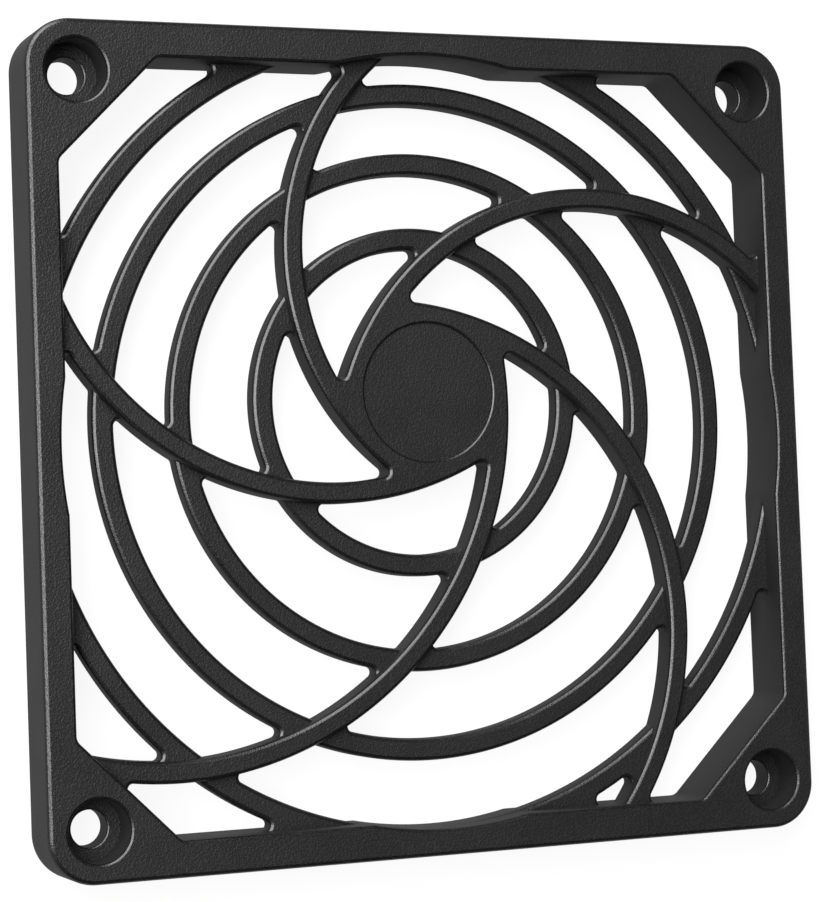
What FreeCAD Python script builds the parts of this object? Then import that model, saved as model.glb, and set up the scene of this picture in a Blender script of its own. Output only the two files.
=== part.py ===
import FreeCAD, Part
import math
import os
import Sketcher

# Plastic fan grille, one moulding. Plan view in XY, back face on z = 0, front face up (+Z).
# Origin: middle of the back face. x is to the right and y is up when looking at the front.

os.makedirs("parts", exist_ok=True)
doc = FreeCAD.newDocument("fan_grille")

driving_sizes = {
    # square frame
    "screw_pitch": (105.0, "distance between neighbouring screw holes"),
    "screw_edge": (7.25, "from the middle of a screw hole to the outer side of the frame"),
    "plate_depth": (9.6, "height of the frame, back face to front face"),
    "plate_corner": (6.7, "outer corner radius in plan"),
    "edge_break": (0.45, "bevel that breaks the outer front edge"),
    "rim_break": (0.3, "bevel that breaks the window and screw seat edges at the front"),
    "side_strip": (4.45, "width of the left and right strips"),
    "top_strip": (5.15, "width of the top and bottom strips"),
    "thin_strip": (3.65, "width left in the middle of each strip by a round relief"),
    "relief_y": (0.2, "height of the relief's centre above the plate middle"),
    "window_cut": (14.6, "leg of the 45 degree corner of the window"),
    "window_corner": (1.6, "radius where the window sides meet its 45 degree corners"),
    # screw holes
    "screw_hole": (5.2, "diameter of the through hole"),
    "screw_seat": (8.8, "diameter of the sunk seat for the screw head"),
    "seat_depth": (5.6, "depth of the sunk seat from the front"),
    # lattice levels and sections
    "lattice_back": (3.1, "height of the lattice back above the frame back"),
    "ring_depth": (2.7, "height of a ring section"),
    "spoke_depth": (4.2, "height of a spoke section, stands proud of the rings"),
    "ring_width": (3.2, "width of a ring section"),
    "spoke_width": (3.1, "width of a spoke section"),
    "bar_break": (0.35, "bevel that breaks the front edges of rings and spokes"),
    "ring_corner": (0.8, "upright corner radius where rings meet spokes and frame"),
    "spoke_corner": (0.8, "upright corner radius where spokes meet hub and frame"),
    "bar_end": (2.2, "how far from the outer side of the frame rings and spokes end inside it"),
    # rings, each with its own centre, measured from the plate middle to the right and up
    "ring_a_radius": (23.9, "middle radius of the innermost ring"),
    "ring_a_x": (-1.6, "ring centre"),
    "ring_a_y": (5.9, "ring centre"),
    "ring_b_radius": (36.3, "middle radius"),
    "ring_b_x": (-1.6, "ring centre"),
    "ring_b_y": (4.5, "ring centre"),
    "ring_c_radius": (47.9, "middle radius"),
    "ring_c_x": (-1.3, "ring centre"),
    "ring_c_y": (3.2, "ring centre"),
    "ring_d_inset": (0.95, "from its middle radius to the side of the frame: it shows in the corners"),
    "ring_d_x": (-0.8, "ring centre"),
    "ring_d_y": (1.3, "ring centre"),
    # hub
    "hub_radius": (12.8, "hub disc, the outer side of each spoke touches it"),
    "hub_x": (-0.4, "hub centre"),
    "hub_y": (7.2, "hub centre"),
    "recess_radius": (10.1, "shallow round recess in the hub face"),
    "recess_depth": (0.4, "depth of that recess"),
    # spokes: arcs that touch the hub disc from inside, each with the direction in degrees from the
    # hub to the arc centre, and the place where it lands in the frame, from the middle of that side
    "spoke_a_turn": (48.0, "direction of the arc centre"),
    "spoke_a_end": (-5.98, "landing place in the top strip"),
    "spoke_b_turn": (-24.0, "direction of the arc centre"),
    "spoke_b_end": (21.76, "landing place in the right strip"),
    "spoke_c_turn": (-102.0, "direction of the arc centre"),
    "spoke_c_end": (28.53, "landing place in the bottom strip"),
    "spoke_d_turn": (182.5, "direction of the arc centre"),
    "spoke_d_end": (-42.31, "lower landing place in the left strip"),
    "spoke_e_turn": (114.6, "direction of the arc centre"),
    "spoke_e_end": (24.2, "upper landing place in the left strip"),
}

dims = doc.addObject("Spreadsheet::Sheet", "dims")
for row, (name, (value, note)) in enumerate(driving_sizes.items(), start=1):
    dims.set("A%d" % row, name)
    dims.set("B%d" % row, str(value))
    dims.set("C%d" % row, note)
    dims.setAlias("B%d" % row, name)
doc.recompute()

# Sizes and places that follow from the driving ones. Each spoke arc is fixed by the hub that it
# touches, the direction of its centre and its landing place. It runs on by spoke_lead, past the hub
# into the next spoke and past its landing place into the frame.
derived_sizes = {
    "half_side": "dims.screw_pitch / 2 + dims.screw_edge",
    "border": "half_side - dims.bar_end",
    "window_x": "2 * (half_side - dims.side_strip)",
    "window_y": "2 * (half_side - dims.top_strip)",
    "ring_d_radius": "half_side - dims.ring_d_inset",
    "touch_radius": "dims.hub_radius - dims.spoke_width / 2",
    "spoke_lead": "dims.hub_radius / 2",
}
landings = {
    "a": ("dims.spoke_a_end", "border"),
    "b": ("border", "dims.spoke_b_end"),
    "c": ("dims.spoke_c_end", "-border"),
    "d": ("-border", "dims.spoke_d_end"),
    "e": ("-border", "dims.spoke_e_end"),
}
for spoke, (end_x, end_y) in landings.items():
    out = "spoke_" + spoke
    turn = "dims.%s_turn * 1 deg" % out
    derived_sizes[out + "_right"] = "%s - dims.hub_x" % end_x
    derived_sizes[out + "_up"] = "%s - dims.hub_y" % end_y
    derived_sizes[out + "_reach"] = "touch_radius + {0}_right * cos({1}) + {0}_up * sin({1})".format(out, turn)
    derived_sizes[out + "_radius"] = (
        "({0}_right^2 + {0}_up^2 - touch_radius^2) / (2 * {0}_reach) + touch_radius".format(out))
    derived_sizes[out + "_x"] = "dims.hub_x + ({0}_radius - touch_radius) * cos({1})".format(out, turn)
    derived_sizes[out + "_y"] = "dims.hub_y + ({0}_radius - touch_radius) * sin({1})".format(out, turn)
    derived_sizes[out + "_lead"] = "spoke_lead / %s_radius * 180 deg / pi" % out
    derived_sizes[out + "_start"] = "{1} + 180 deg + {0}_lead".format(out, turn)
    derived_sizes[out + "_sweep"] = (
        "mod({1} + 540 deg - atan2({3} - {0}_y; {2} - {0}_x); 360 deg) + 2 * {0}_lead".format(
            out, turn, end_x, end_y))

derived = doc.addObject("Spreadsheet::Sheet", "derived")
for row, (name, formula) in enumerate(derived_sizes.items(), start=1):
    derived.set("A%d" % row, name)
    derived.set("B%d" % row, "=" + formula)
    derived.setAlias("B%d" % row, name)
    doc.recompute()

vec = FreeCAD.Vector
near = 0.01


def plane_of(body, role):
    return [f for f in body.Origin.OriginFeatures if f.Role == role][0]


def add_sketch(body, name, role="XY_Plane", height=None):
    sketch = body.newObject("Sketcher::SketchObject", name)
    sketch.AttachmentSupport = [(plane_of(body, role), "")]
    sketch.MapMode = "FlatFace"
    if height:
        sketch.setExpression("AttachmentOffset.Base.z", height)
    return sketch


def bind(sketch, name, formula, *constraint):
    index = sketch.addConstraint(Sketcher.Constraint(*constraint))
    sketch.renameConstraint(index, name)
    sketch.setExpression("Constraints." + name, formula)


def polygon(sketch, points):
    count = len(points)
    for i in range(count):
        sketch.addGeometry(Part.LineSegment(vec(*points[i], 0), vec(*points[(i + 1) % count], 0)), False)
    for i in range(count):
        sketch.addConstraint(Sketcher.Constraint("Coincident", i, 2, (i + 1) % count, 1))


def circle(sketch, name, radius, centre_x, centre_y):
    index = sketch.addGeometry(Part.Circle(vec(1, 1, 0), vec(0, 0, 1), 5), False)
    bind(sketch, name + "_radius", radius, "Radius", index, 5.0)
    bind(sketch, name + "_x", centre_x, "DistanceX", -1, 1, index, 3, 1.0)
    bind(sketch, name + "_y", centre_y, "DistanceY", -1, 1, index, 3, 1.0)


def pad(body, name, sketch, length):
    feature = body.newObject("PartDesign::Pad", name)
    feature.Profile = sketch
    feature.setExpression("Length", length)
    doc.recompute()


def cut_through(body, name, sketch, both_ways=True):
    feature = body.newObject("PartDesign::Pocket", name)
    feature.Profile = sketch
    feature.Type = "ThroughAll"
    feature.Midplane = both_ways
    feature.Reversed = not both_ways
    doc.recompute()


def dress_edges(body, kind, name, amount, wanted):
    base = body.Tip
    edges = ["Edge%d" % (i + 1) for i, e in enumerate(base.Shape.Edges) if wanted(e)]
    feature = body.newObject("PartDesign::" + kind, name)
    feature.Base = (base, edges)
    feature.setExpression("Radius" if kind == "Fillet" else "Size", amount)
    doc.recompute()


def is_upright(edge):
    a, b = edge.Vertexes[0].Point, edge.Vertexes[-1].Point
    return math.hypot(a.x - b.x, a.y - b.y) < near and abs(a.z - b.z) > near


def lies_at(edge, height):
    return all(abs(v.Z - height) < near for v in edge.Vertexes)


def reach_of(edge):
    box = edge.BoundBox
    return max(abs(box.XMin), abs(box.XMax), abs(box.YMin), abs(box.YMax))


# Frame: square pad, rounded corners, window with 45 degree corners, round relief, screw holes.
frame = doc.addObject("PartDesign::Body", "frame")
frame.Label = "frame"
outline = add_sketch(frame, "outline")
half = derived.half_side
polygon(outline, [(-half, -half), (half, -half), (half, half), (-half, half)])
for line in (0, 2):
    outline.addConstraint(Sketcher.Constraint("Horizontal", line))
    outline.addConstraint(Sketcher.Constraint("Vertical", line + 1))
outline.addConstraint(Sketcher.Constraint("Symmetric", 0, 1, 1, 2, -1, 1))
bind(outline, "side_x", "2 * derived.half_side", "DistanceX", 0, 1, 0, 2, 2 * half)
bind(outline, "side_y", "2 * derived.half_side", "DistanceY", 1, 1, 1, 2, 2 * half)
pad(frame, "plate", outline, "dims.plate_depth")
dress_edges(frame, "Fillet", "plate_corners", "dims.plate_corner", is_upright)

window = add_sketch(frame, "window")
wx, wy, cut = derived.window_x / 2, derived.window_y / 2, dims.window_cut
polygon(window, [(-wx + cut, -wy), (wx - cut, -wy), (wx, -wy + cut), (wx, wy - cut),
                 (wx - cut, wy), (-wx + cut, wy), (-wx, wy - cut), (-wx, -wy + cut)])
for line, axis in ((0, -2), (4, -2), (2, -1), (6, -1)):
    window.addConstraint(Sketcher.Constraint("Symmetric", line, 1, line, 2, axis))
for line in (0, 2):
    window.addConstraint(Sketcher.Constraint("Symmetric", line, 1, line + 4, 1, -1, 1))
bind(window, "width", "derived.window_x", "DistanceX", 6, 1, 2, 2, 2 * wx)
bind(window, "height", "derived.window_y", "DistanceY", 0, 1, 4, 2, 2 * wy)
bind(window, "flat_x", "derived.window_x - 2 * dims.window_cut", "DistanceX", 0, 1, 0, 2, 2 * wx - 2 * cut)
bind(window, "flat_y", "derived.window_y - 2 * dims.window_cut", "DistanceY", 2, 1, 2, 2, 2 * wy - 2 * cut)
cut_through(frame, "window_opening", window)
dress_edges(frame, "Fillet", "window_corners", "dims.window_corner",
            lambda e: is_upright(e) and reach_of(e) < derived.half_side - near)

relief = add_sketch(frame, "relief")
circle(relief, "relief", "derived.half_side - dims.thin_strip", "0", "dims.relief_y")
cut_through(frame, "round_relief", relief)

holes = add_sketch(frame, "screw_pattern")
seats = add_sketch(frame, "seat_pattern", height="dims.plate_depth - dims.seat_depth")
for corner, (side_x, side_y) in zip("abcd", ((-1, -1), (1, -1), (1, 1), (-1, 1))):
    centre = ("%d * dims.screw_pitch / 2" % side_x, "%d * dims.screw_pitch / 2" % side_y)
    circle(holes, "hole_" + corner, "dims.screw_hole / 2", *centre)
    circle(seats, "seat_" + corner, "dims.screw_seat / 2", *centre)
cut_through(frame, "screw_holes", holes)
cut_through(frame, "screw_seats", seats, both_ways=False)

dress_edges(frame, "Chamfer", "outer_front_edge", "dims.edge_break",
            lambda e: lies_at(e, dims.plate_depth) and reach_of(e) > derived.half_side - near)
dress_edges(frame, "Chamfer", "inner_front_edges", "dims.rim_break",
            lambda e: lies_at(e, dims.plate_depth) and reach_of(e) < derived.half_side - dims.edge_break - near)


# Plain bars of the lattice: four rings, and five swirl arcs round a hub disc. Each is a
# rectangular section turned about an upright axis.
def bar(body, name, middle_radius, width, height, centre_x, centre_y, start=None, sweep=None):
    sketch = add_sketch(body, name + "_section", "XZ_Plane")
    if start:
        sketch.AttachmentOffset = FreeCAD.Placement(vec(0, 0, 0), FreeCAD.Rotation(vec(0, 1, 0), 10))
        sketch.setExpression("AttachmentOffset.Rotation.Angle", start)
    sketch.setExpression("AttachmentOffset.Base.x", centre_x)
    sketch.setExpression("AttachmentOffset.Base.z", "-" + centre_y)
    polygon(sketch, [(20, 3), (23, 3), (23, 6), (20, 6)])
    for line in (0, 2):
        sketch.addConstraint(Sketcher.Constraint("Horizontal", line))
        sketch.addConstraint(Sketcher.Constraint("Vertical", line + 1))
    bind(sketch, "inner", middle_radius + " - " + width + " / 2", "DistanceX", -1, 1, 0, 1, 20)
    bind(sketch, "width", width, "DistanceX", 0, 1, 0, 2, 3)
    bind(sketch, "back", "dims.lattice_back", "DistanceY", -1, 1, 0, 1, 3)
    bind(sketch, "height", height, "DistanceY", 1, 1, 1, 2, 3)
    doc.recompute()
    feature = body.newObject("PartDesign::Revolution", name)
    feature.Profile = sketch
    feature.ReferenceAxis = (sketch, ["V_Axis"])
    feature.Angle = 360
    if sweep:
        feature.setExpression("Angle", sweep)
        feature.Reversed = True
    doc.recompute()


rings = doc.addObject("PartDesign::Body", "rings")
for ring in "abcd":
    source = "derived" if ring == "d" else "dims"
    bar(rings, "ring_" + ring, "%s.ring_%s_radius" % (source, ring), "dims.ring_width", "dims.ring_depth",
        "dims.ring_%s_x" % ring, "dims.ring_%s_y" % ring)

swirl = doc.addObject("PartDesign::Body", "swirl")
hub = add_sketch(swirl, "hub_outline", height="dims.lattice_back")
circle(hub, "hub", "dims.hub_radius", "dims.hub_x", "dims.hub_y")
pad(swirl, "hub", hub, "dims.spoke_depth")
for spoke in landings:
    key = "derived.spoke_" + spoke
    bar(swirl, "spoke_" + spoke, key + "_radius", "dims.spoke_width", "dims.spoke_depth",
        key + "_x", key + "_y", key + "_start", key + "_sweep")


def dress_part(kind, name, base, amount_at, wanted):
    feature = doc.addObject("Part::" + kind, name)
    feature.Base = base
    chosen = [(i + 1, amount_at(e)) for i, e in enumerate(base.Shape.Edges) if wanted(e)]
    feature.Edges = [(index, amount, amount) for index, amount in chosen]
    doc.recompute()
    return feature


def cut_part(name, base, tool):
    feature = doc.addObject("Part::Cut", name)
    feature.Base = base
    feature.Tool = tool
    feature.Refine = True
    doc.recompute()
    return feature


def fuse_parts(name, shapes):
    feature = doc.addObject("Part::MultiFuse", name)
    feature.Shapes = shapes
    doc.recompute()
    return feature


def clear_of_screws(edge):
    point = edge.Vertexes[0].Point
    pitch = dims.screw_pitch / 2
    return math.hypot(abs(point.x) - pitch, abs(point.y) - pitch) > dims.screw_seat / 2 + near


# An upright corner counts where the two walls turn by more than this angle.
sharp = 25.0


def turn_at(shape, edge):
    point = edge.valueAt((edge.FirstParameter + edge.LastParameter) / 2)
    normals = [f.normalAt(*f.Surface.parameter(point)) for f in shape.ancestorsOfType(edge, Part.Face)]
    return math.degrees(normals[0].getAngle(normals[-1]))


def is_corner(shape, edge):
    return is_upright(edge) and clear_of_screws(edge) and turn_at(shape, edge) > sharp


# A corner radius is held down where a wall beside it is too short for the roundings at its ends.
def fitting_radius(shape, edge, radius):
    for wall in shape.ancestorsOfType(edge, Part.Face):
        corners = [e for e in wall.Edges if is_corner(shape, e)]
        taken = sum(math.tan(math.radians(turn_at(shape, e) / 2)) for e in corners)
        radius = min(radius, 0.98 * wall.Area / edge.Length / taken)
    return radius


# One level of the lattice: a plate inside the frame, pierced by the gaps that lie between the
# bars. The gaps have rounded upright corners and the plate has rounded front rims.
def level(name, depth, bars, corner):
    plate = doc.addObject("Part::Box", name + "_plate")
    for side in ("Length", "Width"):
        plate.setExpression(side, "2 * derived.border")
    plate.setExpression("Height", depth)
    plate.setExpression("Placement.Base.x", "-derived.border")
    plate.setExpression("Placement.Base.y", "-derived.border")
    plate.setExpression("Placement.Base.z", "dims.lattice_back")
    doc.recompute()
    gaps = cut_part(name + "_gaps", plate, fuse_parts(name + "_bars", [frame] + bars))
    soft = dress_part("Fillet", name + "_gap_corners", gaps, lambda e: fitting_radius(gaps.Shape, e, corner),
                      lambda e: is_corner(gaps.Shape, e))
    pierced = cut_part(name + "_pierced", plate, soft)
    front = plate.Placement.Base.z + plate.Height.Value
    return dress_part("Chamfer", name, pierced, lambda e: dims.bar_break,
                      lambda e: lies_at(e, front) and clear_of_screws(e) and reach_of(e) < derived.border - near)


ring_level = level("ring_level", "dims.ring_depth", [rings, swirl], dims.ring_corner)
spoke_level = level("spoke_level", "dims.spoke_depth", [swirl], dims.spoke_corner)
whole = fuse_parts("moulding", [frame, ring_level, spoke_level])

recess = doc.addObject("Part::Cylinder", "hub_recess")
recess.setExpression("Radius", "dims.recess_radius")
recess.setExpression("Height", "dims.recess_depth + dims.plate_depth")
recess.setExpression("Placement.Base.x", "dims.hub_x")
recess.setExpression("Placement.Base.y", "dims.hub_y")
recess.setExpression("Placement.Base.z", "dims.lattice_back + dims.spoke_depth - dims.recess_depth")
grille = cut_part("fan_grille", whole, recess)

for obj in doc.Objects:
    if "Invalid" in obj.State or "Error" in obj.State:
        raise ValueError("feature failed: " + obj.Name)
if not grille.Shape.isValid() or len(grille.Shape.Solids) != 1:
    raise ValueError("the grille is not one sound solid")
print("volume", round(grille.Shape.Volume, 1), "faces", len(grille.Shape.Faces))
grille.Shape.exportStep("parts/fan_grille.step")
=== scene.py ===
import math

import bpy
import numpy as np
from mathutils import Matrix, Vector


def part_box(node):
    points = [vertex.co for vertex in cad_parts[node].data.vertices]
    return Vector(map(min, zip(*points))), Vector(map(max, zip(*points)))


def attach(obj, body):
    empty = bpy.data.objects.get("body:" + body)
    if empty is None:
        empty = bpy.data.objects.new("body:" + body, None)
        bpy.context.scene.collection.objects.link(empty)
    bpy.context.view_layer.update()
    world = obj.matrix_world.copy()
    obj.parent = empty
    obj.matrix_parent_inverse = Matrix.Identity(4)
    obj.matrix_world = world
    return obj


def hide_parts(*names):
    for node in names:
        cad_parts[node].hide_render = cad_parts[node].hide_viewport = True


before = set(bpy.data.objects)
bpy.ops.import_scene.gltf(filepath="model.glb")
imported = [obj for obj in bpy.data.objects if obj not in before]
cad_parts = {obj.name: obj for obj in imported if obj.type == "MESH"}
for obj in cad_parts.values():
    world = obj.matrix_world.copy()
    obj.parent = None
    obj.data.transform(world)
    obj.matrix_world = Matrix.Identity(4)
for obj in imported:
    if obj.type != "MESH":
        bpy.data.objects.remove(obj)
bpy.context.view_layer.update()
perMetre = 1000  # outlines are drawn in millimetres
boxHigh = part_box("fan_grille")[1]
halfSide, plateDepth = boxHigh.x * perMetre, boxHigh.z * perMetre
fullTurn = 2 * math.pi
print("frame loaded, side", round(2 * halfSide, 2), "depth", round(plateDepth, 2))


# The grille: millimetres and degrees

moulding = {
    # square frame, its window and its screw holes
    "frameCorner": 6.7,
    "frontRound": 0.7,
    "backRound": 0.3,
    "rimRound": 0.45,
    "holeRound": 0.25,
    "sideStrip": 4.45,
    "topStrip": 5.15,
    "thinStrip": 3.65,  # where the round relief has hollowed the middle of a side
    "reliefY": 0.2,
    "windowCut": 14.6,
    "windowCorner": 1.6,
    "screwPitch": 105.0,
    "screwHole": 2.6,
    "screwSeat": 4.4,
    "seatDepth": 5.6,
    # rings, spokes and hub
    "latticeBack": 3.1,
    "ringFront": 5.8,
    "spokeFront": 7.3,
    "ringWidth": 3.2,
    "spokeWidth": 3.1,
    "barRound": 0.6,
    "barBackRound": 0.15,
    "gapCorner": 0.8,
    "rings": [  # radius and middle
        (23.9, -1.6, 5.9), (36.3, -1.6, 4.5), (47.9, -1.3, 3.2), (halfSide - 0.95, -0.8, 1.3)],
    "hub": (-0.4, 7.2),
    "hubRadius": 12.8,
    "recessRadius": 10.1,
    "recessDepth": 0.4,
    "recessRound": 0.33,
    "spokes": [  # direction of the arc's middle from the hub, side of the frame and place along it
        (48.0, "top", -5.98), (-24.0, "right", 21.76), (-102.0, "bottom", 28.53),
        (182.5, "left", -42.31), (114.6, "left", 24.2)],
    "spokeEnd": 2.2,  # how deep in the frame that place lies
    "spokeLead": 0.5,  # how far an arc runs on past both ends, as a share of the hub's radius
    # profile of a front rim: how far inwards and how far down each strip ends, as shares of the
    # rim's size
    "rim": [(0.0, 0.0), (0.07, 0.014), (0.14, 0.042), (0.68, 0.366), (0.94, 0.79), (0.98, 0.98),
            (1.0, 1.2)],
    "backSteps": 2,
    "sharpAngle": 24.0,
    # how finely the outlines are drawn
    "pointSpacing": 0.7,
    "fewestPoints": 5,  # on a side or a corner of the window
    "cornerStep": 15.0,
    "frameCornerSteps": 24,
    "holePoints": 72,
    "recessPoints": 144,
    # how edges that meet are found
    "sampleStep": 0.05,
    "fewestSamples": 8,
    "halvings": 40,
    "touching": 1e-6,
    "shortestRun": 0.0001,
    "looseEnd": 0.02,
    "smoothTurn": 0.5,
    # how far solids run into each other before they join or are cut
    "frameOverlap": 0.8,
    "barOverlap": 0.4,
    "overlapEnd": 0.03,
    "cutBeyond": 1.2,
    "beyond": 0.7,
    "mergeDistance": 0.0001,
}


# Outlines: everything is an arc or a straight line in plan. An edge is travelled with the open
# gap on its left and the plastic on its right.

def turnBetween(before, after):
    return math.atan2(before[0] * after[1] - before[1] * after[0], before @ after)


def spokeArcs():
    # middle, radius, first and last angle of each spoke's arc
    hubX, hubY = moulding["hub"]
    touch = moulding["hubRadius"] - moulding["spokeWidth"] / 2
    border = halfSide - moulding["spokeEnd"]
    arcs = []
    for turn, side, along in moulding["spokes"]:
        endX, endY = {"top": (along, border), "right": (border, along),
                      "bottom": (along, -border), "left": (-border, along)}[side]
        dirX, dirY = math.cos(math.radians(turn)), math.sin(math.radians(turn))
        right, up = endX - hubX, endY - hubY
        reach = touch + right * dirX + up * dirY
        radius = (right ** 2 + up ** 2 - touch ** 2) / (2 * reach) + touch
        x, y = hubX + (radius - touch) * dirX, hubY + (radius - touch) * dirY
        lead = moulding["hubRadius"] * moulding["spokeLead"] / radius
        first = math.radians(turn) + math.pi
        sweep = (first - math.atan2(endY - y, endX - x)) % fullTurn
        arcs.append((x, y, radius, first - sweep - lead, first + lead))
    return arcs


spokes = spokeArcs()


def windowCorners(inset):
    # the octagon's corner points, moved inwards, anticlockwise from the bottom left
    x, y = halfSide - moulding["sideStrip"], halfSide - moulding["topStrip"]
    cut = moulding["windowCut"] + inset * (math.sqrt(2) - 2)
    x, y = x - inset, y - inset
    return [(-x + cut, -y), (x - cut, -y), (x, -y + cut), (x, y - cut),
            (x - cut, y), (-x + cut, y), (-x, y - cut), (-x, -y + cut)]


def arcEdge(owner, x, y, radius, gapSide, start=0.0, end=fullTurn):
    # gapSide 1: the gap lies outside the arc, -1: inside
    def at(t, inset):
        angle = end - (end - start) * t if gapSide > 0 else start + (end - start) * t
        cos, sin = np.cos(angle), np.sin(angle)
        reach = radius + gapSide * inset
        points = np.stack([x + reach * cos, y + reach * sin], -1)
        return points, np.stack([-gapSide * cos, -gapSide * sin], -1)
    return {"owner": owner, "at": at, "length": radius * (end - start),
            "closed": end - start >= fullTurn}


def lineEdge(owner, first, last):
    first, last = np.array(first), np.array(last)
    length = np.linalg.norm(last - first)
    along = (last - first) / length
    outward = np.array([along[1], -along[0]])

    def at(t, inset):
        t = np.asarray(t)[..., None]
        return first + (last - first) * t - outward * inset, outward + 0 * t
    return {"owner": owner, "at": at, "length": length, "closed": False}


def windowEdges():
    # straight sides joined by rounded corners
    radius = moulding["windowCorner"]
    inner = np.array(windowCorners(radius))
    edges = []
    for a, b, c in zip(inner, np.roll(inner, -1, 0), np.roll(inner, -2, 0)):
        along, onward = (b - a) / np.linalg.norm(b - a), (c - b) / np.linalg.norm(c - b)
        outward = np.array([along[1], -along[0]])
        edges.append(lineEdge("frame", a + outward * radius, b + outward * radius))
        start = math.atan2(outward[1], outward[0])
        edges.append(arcEdge("frame", *b, radius, -1, start, start + turnBetween(along, onward)))
    return edges


def windowDistance(p):
    # how deep a point lies inside the rounded octagon
    radius = moulding["windowCorner"]
    inner = np.array(windowCorners(radius))
    sides, gaps = [], []
    for a, b in zip(inner, np.roll(inner, -1, 0)):
        along = (b - a) / np.linalg.norm(b - a)
        sides.append((p[..., 0] - a[0]) * -along[1] + (p[..., 1] - a[1]) * along[0])
        t = np.clip(((p - a) @ (b - a)) / ((b - a) @ (b - a)), 0, 1)
        gaps.append(np.linalg.norm(p - a - t[..., None] * (b - a), axis=-1))
    deep, near = np.min(sides, 0), np.min(gaps, 0)
    return radius + np.where(deep > 0, deep, -near)


def distance(p, withRings):
    # from the nearest plastic, at points in an open gap
    hollow = halfSide - moulding["thinStrip"] - np.hypot(p[..., 0], p[..., 1] - moulding["reliefY"])
    found = [np.maximum(windowDistance(p), hollow)]
    hubX, hubY = moulding["hub"]
    found.append(np.hypot(p[..., 0] - hubX, p[..., 1] - hubY) - moulding["hubRadius"])
    for x, y, radius, start, end in spokes:
        toX, toY = p[..., 0] - x, p[..., 1] - y
        angle = (np.arctan2(toY, toX) - start) % fullTurn
        side = np.abs(np.hypot(toX, toY) - radius)
        ends = np.minimum(*(np.hypot(toX - radius * math.cos(a), toY - radius * math.sin(a))
                            for a in (start, end)))
        found.append(np.where(angle < end - start, side, ends) - moulding["spokeWidth"] / 2)
    if withRings:
        for radius, x, y in moulding["rings"]:
            side = np.abs(np.hypot(p[..., 0] - x, p[..., 1] - y) - radius)
            found.append(side - moulding["ringWidth"] / 2)
    return np.min(found, 0)


def allEdges(withRings):
    edges = windowEdges()
    edges.append(arcEdge("frame", 0, moulding["reliefY"], halfSide - moulding["thinStrip"], -1))
    edges.append(arcEdge("swirl", *moulding["hub"], moulding["hubRadius"], 1))
    for x, y, radius, start, end in spokes:
        for gapSide in (1, -1):
            wall = radius + gapSide * moulding["spokeWidth"] / 2
            edges.append(arcEdge("swirl", x, y, wall, gapSide, start, end))
    if withRings:
        for radius, x, y in moulding["rings"]:
            for gapSide in (1, -1):
                wall = radius + gapSide * moulding["ringWidth"] / 2
                edges.append(arcEdge("ring", x, y, wall, gapSide))
    return edges


def openRuns(edge, withRings):
    # the stretches of an edge, held one corner radius away from it, that no other edge covers
    inset = moulding["gapCorner"]

    def isOpen(t):
        reach = distance(edge["at"](t, inset)[0], withRings)
        return np.abs(reach - inset) < moulding["touching"]

    count = max(moulding["fewestSamples"], int(edge["length"] / moulding["sampleStep"]))
    t = np.linspace(0, 1, count + 1)
    free = isOpen(t)
    if free.all() or not free.any():
        return [(0.0, 1.0)] if free.any() else []
    marks = [0.0] if free[0] else []
    for i in np.nonzero(free[1:] != free[:-1])[0]:
        low, high = t[i], t[i + 1]
        for _ in range(moulding["halvings"]):
            middle = (low + high) / 2
            if bool(isOpen(np.array([middle]))[0]) == bool(free[i]):
                low = middle
            else:
                high = middle
        marks.append(low if free[i] else high)
    if free[-1]:
        marks.append(1.0)
    runs = list(zip(marks[0::2], marks[1::2]))
    if edge["closed"] and free[0]:
        runs = runs[1:-1] + [(runs[-1][0], runs[0][1] + 1.0)]
    return runs


def drawRuns(withRings):
    # the open stretches as points, with the way into the plastic at each
    runs = []
    for edge in allEdges(withRings):
        for first, last in openRuns(edge, withRings):
            length = edge["length"] * (last - first)
            if length > moulding["shortestRun"]:
                count = int(length / moulding["pointSpacing"]) + 2
                points, inward = edge["at"](np.linspace(first, last, count), moulding["gapCorner"])
                runs.append({"owner": edge["owner"], "points": points, "inward": np.array(inward)})
    return runs


def chainRuns(runs):
    # runs joined end to start into closed loops
    starts = np.array([run["points"][0] for run in runs])
    left, loops = set(range(len(runs))), []
    while left:
        chain = [min(left)]
        while True:
            left.discard(chain[-1])
            gap = np.linalg.norm(starts - runs[chain[-1]]["points"][-1], axis=1)
            onward = int(np.argmin(gap))
            if gap[onward] > moulding["looseEnd"]:
                raise ValueError("an outline is left open")
            if onward == chain[0]:
                break
            chain.append(onward)
        loops.append([runs[i] for i in chain])
    return loops


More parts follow.
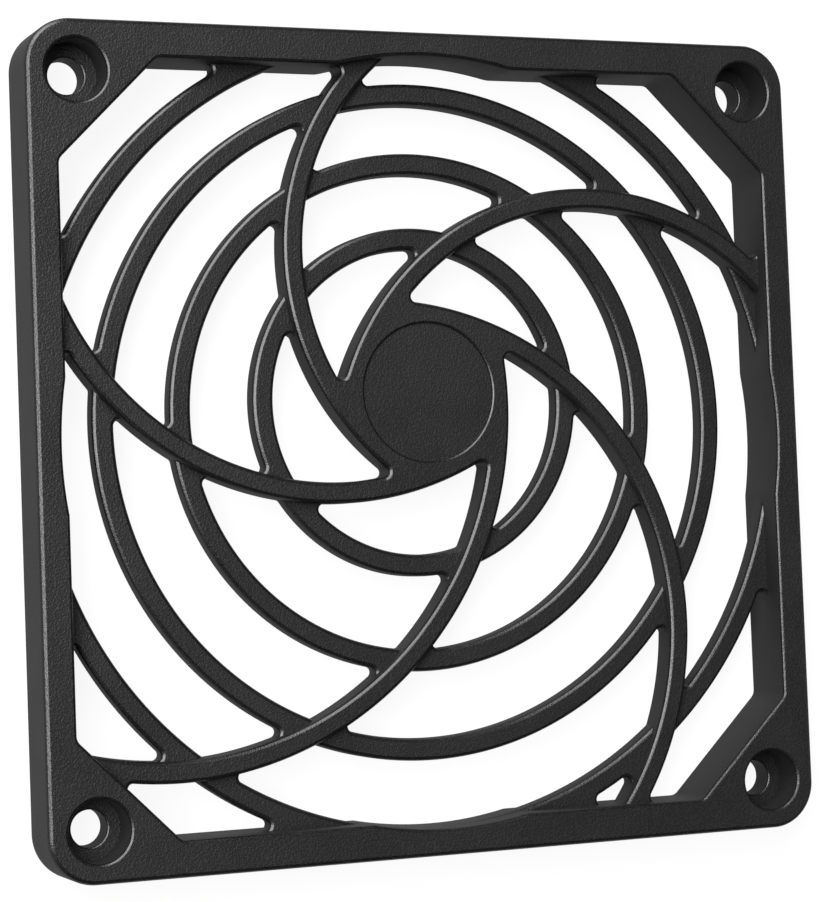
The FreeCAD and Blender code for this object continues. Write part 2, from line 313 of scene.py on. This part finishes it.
def roundedLoop(loop, pushes):
    # the loop moved onto its walls, with rounded corners: points and the way into the plastic.
    # A wall whose owner has a push is drawn that much deeper in it.
    inset, step = moulding["gapCorner"], math.radians(moulding["cornerStep"])
    points, inwards = [], []

    def add(centre, inward, reach):
        points.append(centre + inward * reach)
        inwards.append(inward)

    for run, onward in zip(loop, loop[1:] + loop[:1]):
        push, nextPush = pushes.get(run["owner"], 0.0), pushes.get(onward["owner"], 0.0)
        for centre, inward in zip(run["points"][1:-1], run["inward"][1:-1]):
            add(centre, inward, inset + push)
        corner, before, after = run["points"][-1], run["inward"][-1], onward["inward"][0]
        turn = turnBetween(before, after)
        if turn < math.radians(moulding["smoothTurn"]):
            middle = (before + after) / np.linalg.norm(before + after)
            add(corner, middle, (inset + push) / math.cos(turn / 2))
            continue
        add(corner, before, inset + push)
        both = min(push, nextPush)
        count = max(2, int(math.ceil(turn / step)))
        for k in range(count + 1):
            if (k == 0 and push == both) or (k == count and nextPush == both):
                continue
            angle = math.atan2(before[1], before[0]) + turn * k / count
            extra = moulding["overlapEnd"] if k in (0, count) else 0.0
            add(corner, np.array([math.cos(angle), math.sin(angle)]), inset + both + extra)
        add(corner, after, inset + nextPush)
    return np.array(points), np.array(inwards)


def gapOutlines(withRings, pushes):
    return [roundedLoop(loop, pushes) for loop in chainRuns(drawRuns(withRings))]


def circleOutline(x, y, radius, count):
    angle = np.arange(count) / count * fullTurn
    inward = np.stack([np.cos(angle), np.sin(angle)], -1)
    return inward * radius + (x, y), inward


def squareOutline():
    corner, steps = moulding["frameCorner"], moulding["frameCornerSteps"]
    points, inwards = [], []
    for quarter in range(4):
        facing = quarter * math.pi / 2
        middle = np.array([math.cos(facing + math.pi / 4), math.sin(facing + math.pi / 4)])
        for k in range(steps + 1):
            angle = facing + k / steps * math.pi / 2
            inward = np.array([math.cos(angle), math.sin(angle)])
            points.append(middle * (halfSide - corner) * math.sqrt(2) + inward * corner)
            inwards.append(inward)
    return np.array(points), np.array(inwards)


def windowOutline(push=0.0):
    # the octagon with its sides hollowed by the round relief
    radius, middle = halfSide - moulding["thinStrip"], np.array([0.0, moulding["reliefY"]])
    points, inwards = [], []
    for edge in windowEdges():
        count = max(moulding["fewestPoints"], int(edge["length"] / moulding["pointSpacing"]) + 1)
        spots, inward = edge["at"](np.linspace(0, 1, count), 0.0)
        for spot, facing in zip(spots[:-1], inward[:-1]):
            away = spot - middle
            reach = np.linalg.norm(away)
            if reach < radius:
                facing = away / reach
                spot = middle + facing * radius
            points.append(spot + facing * push)
            inwards.append(facing)
    return np.array(points), np.array(inwards)


def allOutlines():
    half = moulding["screwPitch"] / 2
    places = [(x * half, y * half) for x in (-1, 1) for y in (-1, 1)]
    framePush = {"frame": moulding["frameOverlap"] + moulding["cutBeyond"]}
    return {
        "plate": [squareOutline()],
        "window": [windowOutline()],
        "border": [windowOutline(moulding["frameOverlap"])],
        "spokeGaps": gapOutlines(False, framePush),
        "ringGaps": gapOutlines(True, {**framePush, "swirl": moulding["barOverlap"]}),
        "screws": [circleOutline(*place, moulding["screwHole"], moulding["holePoints"])
                   for place in places],
        "seats": [circleOutline(*place, moulding["screwSeat"], moulding["holePoints"])
                  for place in places],
        "recess": [circleOutline(*moulding["hub"], moulding["recessRadius"],
                                 moulding["recessPoints"])],
    }


outlines = allOutlines()
kinds = list(outlines)
print("outlines", {name: len(loops) for name, loops in outlines.items()})


def drawSheet():
    # every outline as one flat face, with what it outlines and the way into the plastic
    points, inwards, faces, kindOf = [], [], [], []
    for kind, name in enumerate(kinds):
        for loopPoints, loopInwards in outlines[name]:
            faces.append(range(len(points), len(points) + len(loopPoints)))
            points.extend((x, y, 0.0) for x, y in loopPoints)
            inwards.extend((x, y, 0.0) for x, y in loopInwards)
            kindOf.append(kind)
    mesh = bpy.data.meshes.new("drawing")
    mesh.from_pydata(points, [], faces)
    mesh.attributes.new("kind", "INT", "FACE").data.foreach_set("value", kindOf)
    for name, values in (("wallPoint", points), ("wallNormal", inwards)):
        attribute = mesh.attributes.new(name, "FLOAT_VECTOR", "POINT")
        attribute.data.foreach_set("vector", np.ravel(values))
    return mesh


# Geometry Nodes: each outline is drawn up into a solid with broken rims, and the solids are
# joined and cut as the moulding's own steps are.

def addNode(tree, kind, inputs=None, **settings):
    made = tree.nodes.new(kind)
    for name, value in settings.items():
        setattr(made, name, value)
    for socket, value in (inputs or {}).items():
        if isinstance(value, bpy.types.NodeSocket):
            tree.links.new(value, made.inputs[socket])
        else:
            made.inputs[socket].default_value = value
    return made


def mathNode(tree, operation, *values):
    return addNode(tree, "ShaderNodeMath", dict(enumerate(values)), operation=operation).outputs[0]


def readAttribute(tree, name, dataType):
    return addNode(tree, "GeometryNodeInputNamedAttribute", {"Name": name},
                   data_type=dataType).outputs["Attribute"]


def newTree(name, inputs, output):
    tree = bpy.data.node_groups.new(name, "GeometryNodeTree")
    for label, kind, value in inputs:
        socket = tree.interface.new_socket(label, in_out="INPUT", socket_type="NodeSocket" + kind)
        if value is not None:
            socket.default_value = value
    tree.interface.new_socket(output, in_out="OUTPUT", socket_type="NodeSocketGeometry")
    return tree, tree.nodes.new("NodeGroupInput").outputs, tree.nodes.new("NodeGroupOutput").inputs


def placeGroup():
    # an outline at a height, moved sideways along its own wall directions
    tree, given, result = newTree(
        "placeOutline", [("Faces", "Geometry", None), ("Moved", "Bool", True),
                         ("Height", "Float", 0.0), ("Sideways", "Float", 0.0)], "Faces")
    flat = addNode(tree, "ShaderNodeVectorMath", {
        0: readAttribute(tree, "wallNormal", "FLOAT_VECTOR"), 1: given["Sideways"],
        2: readAttribute(tree, "wallPoint", "FLOAT_VECTOR")}, operation="MULTIPLY_ADD")
    up = addNode(tree, "ShaderNodeCombineXYZ", {"Z": given["Height"]})
    spot = addNode(tree, "ShaderNodeVectorMath", {0: flat.outputs[0], 1: up.outputs[0]})
    moved = addNode(tree, "GeometryNodeSetPosition", {
        "Geometry": given["Faces"], "Selection": given["Moved"], "Position": spot.outputs[0]})
    tree.links.new(moved.outputs["Geometry"], result["Faces"])
    return tree


def stackGroup(place):
    # a closed solid from flat outlines, with rims at the back and the front
    tree, given, result = newTree(
        "roundedSolid",
        [("Faces", "Geometry", None), ("Bottom", "Float", 0.0), ("Top", "Float", 1.0),
         ("Back Round", "Float", 0.0), ("Front Round", "Float", 0.0), ("Below", "Float", 0.0),
         ("Above", "Float", 0.0), ("Side", "Float", 1.0)], "Solid")
    levels = []  # height and sideways move of each outline in the stack

    def addLevel(size, inwards, up, base):
        levels.append((mathNode(tree, "MULTIPLY_ADD", given[size], up, given[base]),
                       mathNode(tree, "MULTIPLY", given[size], inwards)))

    for step in range(moulding["backSteps"] + 1):
        angle = math.pi / 2 * (1 - step / moulding["backSteps"])
        addLevel("Back Round", 1 - math.cos(angle), 1 - math.sin(angle), "Bottom")
    for inwards, down in reversed(moulding["rim"]):
        addLevel("Front Round", 1 - inwards, -down, "Top")
    below = mathNode(tree, "SUBTRACT", given["Bottom"], given["Below"])
    above = mathNode(tree, "ADD", given["Top"], given["Above"])
    levels = [(below, levels[0][1])] + levels + [(above, levels[-1][1])]

    faces, lid = given["Faces"], True
    for number, (height, sideways) in enumerate(levels):
        if number:
            lifted = addNode(tree, "GeometryNodeExtrudeMesh", {
                "Mesh": faces, "Selection": lid, "Offset Scale": 0.0, "Individual": False},
                mode="FACES")
            faces, lid = lifted.outputs["Mesh"], lifted.outputs["Top"]
        placed = addNode(tree, "GeometryNodeGroup", {
            "Faces": faces, "Moved": lid, "Height": height,
            "Sideways": mathNode(tree, "MULTIPLY", sideways, given["Side"])}, node_tree=place)
        faces = placed.outputs["Faces"]
        if not number:
            cap = addNode(tree, "GeometryNodeFlipFaces", {"Mesh": faces}).outputs["Mesh"]
    joined = tree.nodes.new("GeometryNodeJoinGeometry")
    for part in (cap, faces):
        tree.links.new(part, joined.inputs["Geometry"])
    closed = addNode(tree, "GeometryNodeMergeByDistance", {
        "Geometry": joined.outputs["Geometry"], "Distance": moulding["mergeDistance"]})
    tree.links.new(closed.outputs["Geometry"], result["Solid"])
    return tree


def mouldingTree():
    # the tree, and the value that each of its inputs gets
    sizes = {
        "Plate Depth": plateDepth, "Seat Floor": plateDepth - moulding["seatDepth"],
        "Outer Front Round": moulding["frontRound"], "Outer Back Round": moulding["backRound"],
        "Rim Round": moulding["rimRound"], "Hole Round": moulding["holeRound"],
        "Lattice Back": moulding["latticeBack"], "Ring Front": moulding["ringFront"],
        "Spoke Front": moulding["spokeFront"], "Bar Round": moulding["barRound"],
        "Bar Back Round": moulding["barBackRound"], "Recess Depth": moulding["recessDepth"],
        "Recess Round": moulding["recessRound"], "Beyond": moulding["beyond"],
    }
    inputs = [("Drawing", "Geometry", None)]
    inputs += [(name, "Float", value) for name, value in sizes.items()]
    inputs += [("Plastic", "Material", None)]
    tree, given, result = newTree("grilleMoulding", inputs, "Grille")
    stack = stackGroup(placeGroup())
    kindOf = readAttribute(tree, "kind", "INT")

    def solid(name, bottom, top, backRound=0.0, frontRound=0.0, below=0.0, above=0.0, side=1.0):
        # a word stands for the input of that name
        chosen = addNode(tree, "FunctionNodeCompare", {"A": kindOf, "B": kinds.index(name)},
                         data_type="INT", operation="EQUAL")
        faces = addNode(tree, "GeometryNodeSeparateGeometry", {
            "Geometry": given["Drawing"], "Selection": chosen.outputs["Result"]}, domain="FACE")
        values = {"Faces": faces.outputs["Selection"], "Bottom": bottom, "Top": top,
                  "Back Round": backRound, "Front Round": frontRound, "Below": below,
                  "Above": above, "Side": side}
        values = {socket: given[value] if isinstance(value, str) else value
                  for socket, value in values.items()}
        return addNode(tree, "GeometryNodeGroup", values, node_tree=stack).outputs["Solid"]

    def combine(operation, *solids):
        made = addNode(tree, "GeometryNodeMeshBoolean", operation=operation, solver="MANIFOLD")
        if operation == "DIFFERENCE":
            tree.links.new(solids[0], made.inputs[0])
            solids = solids[1:]
        for part in solids:
            tree.links.new(part, made.inputs[1])
        return made.outputs["Mesh"]

    block = solid("plate", 0.0, "Plate Depth", "Outer Back Round", "Outer Front Round", side=-1.0)
    window = solid("window", 0.0, "Plate Depth", "Outer Back Round", "Rim Round",
                   "Beyond", "Beyond")
    holes = solid("screws", 0.0, "Seat Floor", "Hole Round", "Hole Round", "Beyond", "Beyond")
    seats = solid("seats", "Seat Floor", "Plate Depth", 0.0, "Rim Round", 0.0, "Beyond")
    rings = solid("border", "Lattice Back", "Ring Front")
    swirl = solid("border", "Lattice Back", "Spoke Front")
    ringGaps = solid("ringGaps", "Lattice Back", "Ring Front", "Bar Back Round", "Bar Round",
                     "Beyond", "Beyond")
    spokeGaps = solid("spokeGaps", "Lattice Back", "Spoke Front", "Bar Back Round", "Bar Round",
                      "Beyond", "Beyond")
    floor = mathNode(tree, "SUBTRACT", given["Spoke Front"], given["Recess Depth"])
    recess = solid("recess", floor, "Spoke Front", 0.0, "Recess Round", 0.0, "Beyond")
    whole = combine("UNION", combine("DIFFERENCE", block, window, holes, seats),
                    combine("DIFFERENCE", rings, ringGaps),
                    combine("DIFFERENCE", swirl, spokeGaps, recess))
    scaled = addNode(tree, "GeometryNodeTransform", {
        "Geometry": whole, "Scale": (1 / perMetre,) * 3})
    realized = addNode(tree, "GeometryNodeRealizeInstances", {
        "Geometry": scaled.outputs["Geometry"]})
    painted = addNode(tree, "GeometryNodeSetMaterial", {
        "Geometry": realized.outputs["Geometry"], "Material": given["Plastic"]})
    tree.links.new(painted.outputs["Geometry"], result["Grille"])
    return tree, sizes


def buildGrille(plastic):
    tree, sizes = mouldingTree()
    drawn = bpy.data.objects.new("drawing", drawSheet())
    bpy.context.scene.collection.objects.link(drawn)
    modifier = drawn.modifiers.new("moulding", "NODES")
    modifier.node_group = tree
    sockets = {item.name: item.identifier for item in tree.interface.items_tree
               if item.in_out == "INPUT"}
    for name, value in sizes.items():
        modifier[sockets[name]] = value
    modifier[sockets["Plastic"]] = plastic
    evaluated = drawn.evaluated_get(bpy.context.evaluated_depsgraph_get())
    mesh = bpy.data.meshes.new_from_object(evaluated)
    mesh.name = "grille"
    bpy.data.objects.remove(drawn)
    mesh.shade_smooth()
    mesh.set_sharp_from_angle(angle=math.radians(moulding["sharpAngle"]))
    made = bpy.data.objects.new("grille", mesh)
    bpy.context.scene.collection.objects.link(made)
    made.modifiers.new("flatFaces", "WEIGHTED_NORMAL").keep_sharp = True
    return made


# Charcoal black plastic: spark-eroded grain on the faces that look forward, satin walls and
# smoother broken edges

finish = {
    "colour": (0.0030, 0.0030, 0.0031),
    "paleColour": (0.0082, 0.0082, 0.0084),
    "specular": 0.5,
    # grain, in metres
    "grainSize": 0.00028,
    "fineSize": 0.00018,
    "mottleSize": 0.012,
    "grainHeight": 0.00005,
    "wallHeight": 0.000008,
    "edgeHeight": 0.000012,
    "grainSmoothness": 0.6,
    "fineShare": 0.6,
    "noiseDetail": 3.0,
    "fineRoughness": 0.5,  # of the noise itself
    "mottleRoughness": 0.6,
    # shine
    "frontShine": 0.43,  # roughness of each kind of face
    "wallShine": 0.58,
    "edgeShine": 0.28,
    "mottleShine": 0.16,  # how far the mottle and the pits change it
    "pitShine": 0.12,
    # colour
    "palePits": (0.3, 1.1),  # the pits' value where the pale colour starts and is whole
    "mottleTone": 0.8,
    "mottleMiddle": 0.5,
    "pitMiddle": 0.6,
    # how far up a face looks, 1 is straight up: where edges and fronts start and are whole
    "edgeFrom": (0.15, 0.5),
    "frontFrom": (0.9, 0.985),
}


def makePlastic():
    material = bpy.data.materials.new("charcoalPlastic")
    material.use_nodes = True
    tree = material.node_tree
    shader = tree.nodes["Principled BSDF"]
    shader.inputs["Specular IOR Level"].default_value = finish["specular"]
    place = addNode(tree, "ShaderNodeTexCoord")
    point, facing = place.outputs["Object"], place.outputs["Normal"]

    def noise(size, roughness):
        return addNode(tree, "ShaderNodeTexNoise", {
            "Vector": point, "Scale": 1 / size, "Detail": finish["noiseDetail"],
            "Roughness": roughness}).outputs["Fac"]

    def ramp(value, limits, first=0.0, last=1.0):
        low, high = limits
        return addNode(tree, "ShaderNodeMapRange", {
            "Value": value, "From Min": low, "From Max": high, "To Min": first, "To Max": last},
            interpolation_type="SMOOTHSTEP").outputs["Result"]

    def nudge(value, middle, share, start):
        around = mathNode(tree, "SUBTRACT", value, middle)
        return mathNode(tree, "MULTIPLY_ADD", around, share, start)

    upward = addNode(tree, "ShaderNodeSeparateXYZ", {"Vector": facing}).outputs["Z"]
    cells = addNode(tree, "ShaderNodeTexVoronoi", {
        "Vector": point, "Scale": 1 / finish["grainSize"],
        "Smoothness": finish["grainSmoothness"]}, feature="SMOOTH_F1").outputs["Distance"]
    pits = mathNode(tree, "MULTIPLY_ADD", noise(finish["fineSize"], finish["fineRoughness"]),
                    finish["fineShare"], cells)
    mottle = noise(finish["mottleSize"], finish["mottleRoughness"])
    edge = mathNode(tree, "MULTIPLY", ramp(upward, finish["edgeFrom"]),
                    ramp(upward, finish["frontFrom"], 1.0, 0.0))

    wallToFront = ramp(upward, finish["frontFrom"], finish["wallHeight"], finish["grainHeight"])
    depth = mathNode(tree, "MULTIPLY_ADD", edge, finish["edgeHeight"] - finish["wallHeight"],
                     wallToFront)
    bump = addNode(tree, "ShaderNodeBump", {
        "Strength": 1.0, "Distance": 1.0, "Height": mathNode(tree, "MULTIPLY", pits, depth)})
    tree.links.new(bump.outputs["Normal"], shader.inputs["Normal"])

    wallToFront = ramp(upward, finish["frontFrom"], finish["wallShine"], finish["frontShine"])
    shine = mathNode(tree, "MULTIPLY_ADD", edge, finish["edgeShine"] - finish["wallShine"],
                     wallToFront)
    shine = nudge(mottle, finish["mottleMiddle"], finish["mottleShine"], shine)
    shine = nudge(pits, finish["pitMiddle"], finish["pitShine"], shine)
    tree.links.new(shine, shader.inputs["Roughness"])

    tone = nudge(mottle, finish["mottleMiddle"], finish["mottleTone"],
                 ramp(pits, finish["palePits"]))
    colour = addNode(tree, "ShaderNodeMix", {  # sockets 6 and 7 are its colours
        "Factor": tone, 6: (*finish["colour"], 1.0), 7: (*finish["paleColour"], 1.0)},
        data_type="RGBA")
    tree.links.new(colour.outputs[2], shader.inputs["Base Color"])
    return material


grille = buildGrille(makePlastic())
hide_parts("fan_grille")
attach(grille, "root")
print("grille built, faces", len(grille.data.polygons), "triangles",
      sum(len(face.vertices) - 2 for face in grille.data.polygons))


# Surroundings: metres, watts and degrees

studio = {
    "floorSide": 4.0,
    "floorColour": 0.7,
    "floorRoughness": 0.9,
    "glow": 0.87,  # share of the floor that shows plain white to the camera
    "glowStrength": 1.05,
    "mirrorStrength": 0.44,  # of the same white in the plastic's reflections
    "worldStrength": 0.05,
    "lamps": [  # place, aim, width, height and power: left, upper left, large fill above
        ((-0.79, 0.18, 1.12), (0.0, 0.0, 0.0), 0.95, 0.6, 23.0),
        ((-0.40, 1.02, 0.86), (0.0, 0.0, 0.0), 0.9, 0.75, 21.0),
        ((0.35, 0.1, 1.0), (0.0, 0.0, 0.0), 1.3, 1.3, 1.1)],
}

view = {
    "location": (-0.15285, -0.01528, 0.36826),
    "rotation": (3.7358, -22.4527, -2.3273),
    "lens": 107.463,
    "shiftY": -0.04205,
}


def paleFloor():
    material = bpy.data.materials.new("paleFloor")
    material.use_nodes = True
    tree = material.node_tree
    shader = tree.nodes["Principled BSDF"]
    shader.inputs["Base Color"].default_value = (*[studio["floorColour"]] * 3, 1.0)
    shader.inputs["Roughness"].default_value = studio["floorRoughness"]
    shader.inputs["Specular IOR Level"].default_value = 0.0
    rays = addNode(tree, "ShaderNodeLightPath").outputs
    seen = mathNode(tree, "MAXIMUM", rays["Is Camera Ray"],
                    mathNode(tree, "MAXIMUM", rays["Is Glossy Ray"], rays["Is Transmission Ray"]))
    strength = mathNode(tree, "MULTIPLY_ADD", rays["Is Glossy Ray"],
                        studio["mirrorStrength"] - studio["glowStrength"], studio["glowStrength"])
    white = addNode(tree, "ShaderNodeEmission", {"Strength": strength}).outputs[0]
    mixed = addNode(tree, "ShaderNodeMixShader", {
        0: mathNode(tree, "MULTIPLY", seen, studio["glow"]), 1: shader.outputs[0], 2: white})
    tree.links.new(mixed.outputs[0], tree.nodes["Material Output"].inputs["Surface"])
    return material


def buildFloor():
    side = studio["floorSide"] / 2
    mesh = bpy.data.meshes.new("floor")
    corners = [(-side, -side, 0), (side, -side, 0), (side, side, 0), (-side, side, 0)]
    mesh.from_pydata(corners, [], [(0, 1, 2, 3)])
    mesh.materials.append(paleFloor())
    floor = bpy.data.objects.new("floor", mesh)
    bpy.context.scene.collection.objects.link(floor)


def buildLights():
    world = bpy.data.worlds.new("studio")
    bpy.context.scene.world = world
    world.use_nodes = True
    background = world.node_tree.nodes["Background"]
    background.inputs["Color"].default_value = (1.0, 1.0, 1.0, 1.0)
    background.inputs["Strength"].default_value = studio["worldStrength"]
    for number, (place, aim, width, height, power) in enumerate(studio["lamps"]):
        lamp = bpy.data.lights.new(f"softbox{number}", "AREA")
        lamp.shape, lamp.size, lamp.size_y, lamp.energy = "RECTANGLE", width, height, power
        box = bpy.data.objects.new(lamp.name, lamp)
        box.location = place
        box.rotation_euler = (Vector(aim) - Vector(place)).to_track_quat("-Z", "Y").to_euler()
        bpy.context.scene.collection.objects.link(box)


def placeCamera():
    data = bpy.data.cameras.new("photoView")
    data.lens, data.shift_y = view["lens"], view["shiftY"]
    camera = bpy.data.objects.new("photoView", data)
    camera.location = view["location"]
    camera.rotation_euler = [math.radians(angle) for angle in view["rotation"]]
    bpy.context.scene.collection.objects.link(camera)
    bpy.context.scene.camera = camera


buildFloor()
buildLights()
placeCamera()
bpy.context.scene.view_settings.view_transform = "Standard"
print("studio and camera placed")
